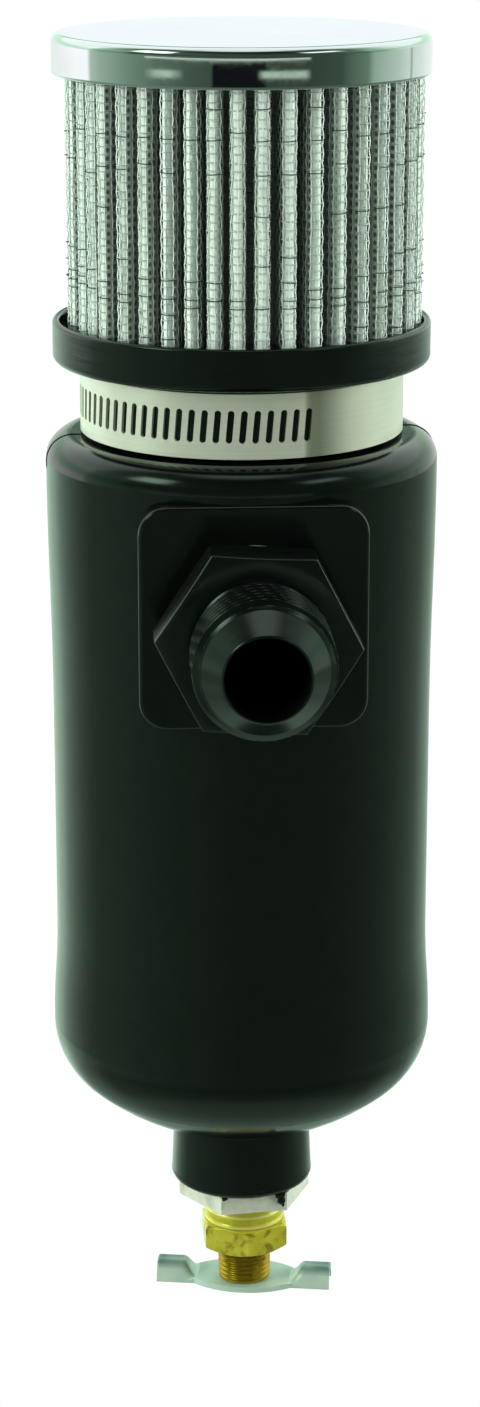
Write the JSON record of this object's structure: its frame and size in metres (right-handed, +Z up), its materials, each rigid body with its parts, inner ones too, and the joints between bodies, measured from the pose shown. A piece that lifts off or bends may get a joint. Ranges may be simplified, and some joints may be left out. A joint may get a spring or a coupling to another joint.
{
  "type": "oil catch can",
  "caption": "Upright moulded oil catch can with a clamped breather filter on top, a flared hose inlet on a square pad at the front and a winged drain cock below.",
  "frame": {"origin": "on the tank's axis, at the middle of the barrel's straight band where a strap bracket holds it", "axes": "+Z up along the tank's axis towards the filter, -Y along the inlet fitting, out of the tank"},
  "size_m": [0.0792, 0.1204, 0.2679],
  "materials": {
    "chrome_cap": "polished chrome plate",
    "sealant": "cast, matt",
    "wire_screen": "woven wire, dull",
    "gauze": "woven cotton, matt",
    "rubber_base": "moulded, satin",
    "stainless": "satin stainless strip",
    "plated_screw": "zinc plated",
    "tank_plastic": "moulded, satin",
    "insert_metal": "machined, bright",
    "black_anodised": "black anodised, semi-gloss",
    "brass_body": "turned, lightly stained",
    "brass_stem": "screw-cut, darkened",
    "zinc_plate": "pressed, zinc plated"
  },
  "bodies": {
    "tank": {"tank_body": "tank_plastic", "inlet_insert": "insert_metal", "inlet_fitting": "black_anodised", "drain_insert": "insert_metal", "drain_body": "brass_body", "filter_base": "rubber_base", "filter_cap": "chrome_cap", "top_seal": "sealant", "outer_wire_screen": "wire_screen", "cotton_gauze": "gauze", "inner_wire_screen": "wire_screen", "clamp_band": "stainless", "clamp_housing": "stainless"},
    "stem": {"drain_stem": "brass_stem"},
    "handle": {"drain_handle": "zinc_plate"},
    "worm_screw": {"clamp_screw": "plated_screw"}
  },
  "joints": [
    {"name": "drain_travel", "type": "slide", "parent": "tank", "child": "stem", "axis": [0, 0, -1], "range_m": [0, 0.00317]},
    {"name": "handle_turn", "type": "hinge", "parent": "stem", "child": "handle", "pos_m": [0.0006, 0, -0.1072], "axis": [0, 0, -1], "range_deg": [0, 1080]},
    {"name": "clamp_screw_turn", "type": "hinge", "parent": "tank", "child": "worm_screw", "pos_m": [0, 0.0365, 0.08785], "axis": [-1, 0, 0], "continuous": true}
  ],
  "couplings": [
    {"joint": "handle_turn", "follows": "drain_travel", "rad_per_m": 5938.2}
  ]
}
